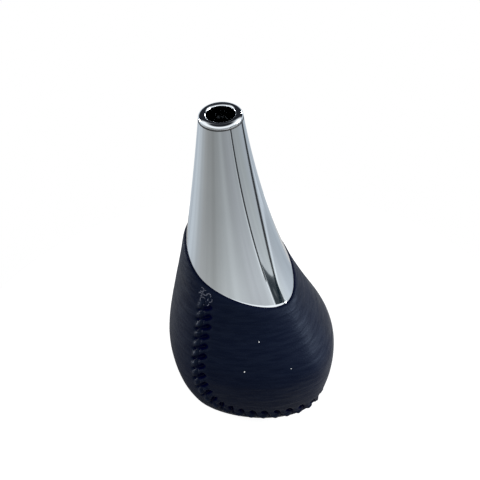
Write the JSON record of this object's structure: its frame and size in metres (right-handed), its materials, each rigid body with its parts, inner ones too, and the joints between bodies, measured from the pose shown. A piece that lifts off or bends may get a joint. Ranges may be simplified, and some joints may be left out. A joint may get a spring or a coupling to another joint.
{
  "type": "gear shift knob",
  "caption": "Gear shift knob with a bright plated conical skirt and a bulbous leather head, cross stitched along a curved seam, screwed onto the lever.",
  "frame": {"origin": "point where the axis of the lever's bore meets the flat end of the head, which the knob stands on", "axes": "+Z along the bore, out of its mouth; -Y towards the front panel; X = 0 is the mirror plane"},
  "size_m": [0.052, 0.0565, 0.1022],
  "materials": {
    "plating": "polished",
    "leather": "satin",
    "thread": "matte",
    "core_plastic": "matte",
    "insert_steel": "machined"
  },
  "bodies": {
    "root": {"chrome_skirt": "plating", "core": "core_plastic", "thread_insert": "insert_steel", "front_panel": "leather", "rear_panel": "leather", "seam_thread": "thread"}
  },
  "joints": []
}
